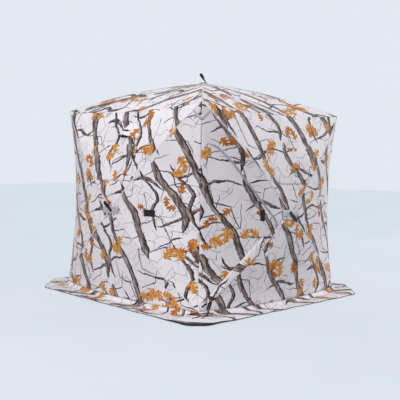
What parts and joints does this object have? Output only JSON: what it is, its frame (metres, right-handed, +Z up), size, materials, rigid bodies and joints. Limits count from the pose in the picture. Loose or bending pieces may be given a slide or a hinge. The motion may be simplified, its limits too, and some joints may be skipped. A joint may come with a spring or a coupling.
{
  "type": "ice fishing hut",
  "caption": "Square pop-up ice fishing hut in white winter-branch camouflage fabric, sprung by a hub in each wall and the roof, with a corner-hinged fabric door, windows, vent and snow skirt.",
  "frame": {"origin": "middle of the footprint on the ground", "axes": "+Z up; the door wall faces -Y and the hinge corner is at -X, -Y"},
  "size_m": [2.52, 2.52, 2.1563],
  "materials": {
    "fabric": "matte woven polyester with a printed winter-branch pattern",
    "cover": "matte printed window cover",
    "skirt": "matte printed skirt with a black binding",
    "webbing": "black webbing and hook-and-loop",
    "hub": "moulded hub with a grey reflective cover",
    "rod": "black fibreglass rod"
  },
  "bodies": {
    "shelter": {"roof_front_panel": "fabric", "roof_right_panel": "fabric", "roof_back_panel": "fabric", "roof_left_panel": "fabric", "roof_rods": "rod", "roof_hub": "hub", "roof_pull_strap": "webbing", "front_top_panel": "fabric", "front_right_panel": "fabric", "front_bottom_panel": "fabric", "front_door_surround": "fabric", "front_rods": "rod", "front_hub": "hub", "front_pull_strap": "webbing", "front_window_cover": "cover", "left_top_panel": "fabric", "left_back_panel": "fabric", "left_bottom_panel": "fabric", "left_front_panel": "fabric", "left_rods": "rod", "left_hub": "hub", "left_pull_strap": "webbing", "left_window_cover": "cover", "left_vent_hood": "fabric", "left_hook_patch": "webbing", "back_top_panel": "fabric", "back_side_panel_left": "fabric", "back_bottom_panel": "fabric", "back_side_panel_right": "fabric", "back_rods": "rod", "back_hub": "hub", "back_pull_strap": "webbing", "back_window_cover": "cover", "right_top_panel": "fabric", "right_side_panel_front": "fabric", "right_bottom_panel": "fabric", "right_side_panel_back": "fabric", "right_rods": "rod", "right_hub": "hub", "right_pull_strap": "webbing", "right_window_cover": "cover", "skirt": "skirt"},
    "door": {"door_panel": "fabric", "door_storm_flap": "fabric", "door_hook_patch": "webbing"}
  },
  "joints": [
    {"name": "door_swing", "type": "hinge", "parent": "shelter", "child": "door", "pos_m": [-0.874, -0.98, 0.13], "axis": [0, -0.029, -0.9996], "range_deg": [0, 170]}
  ]
}
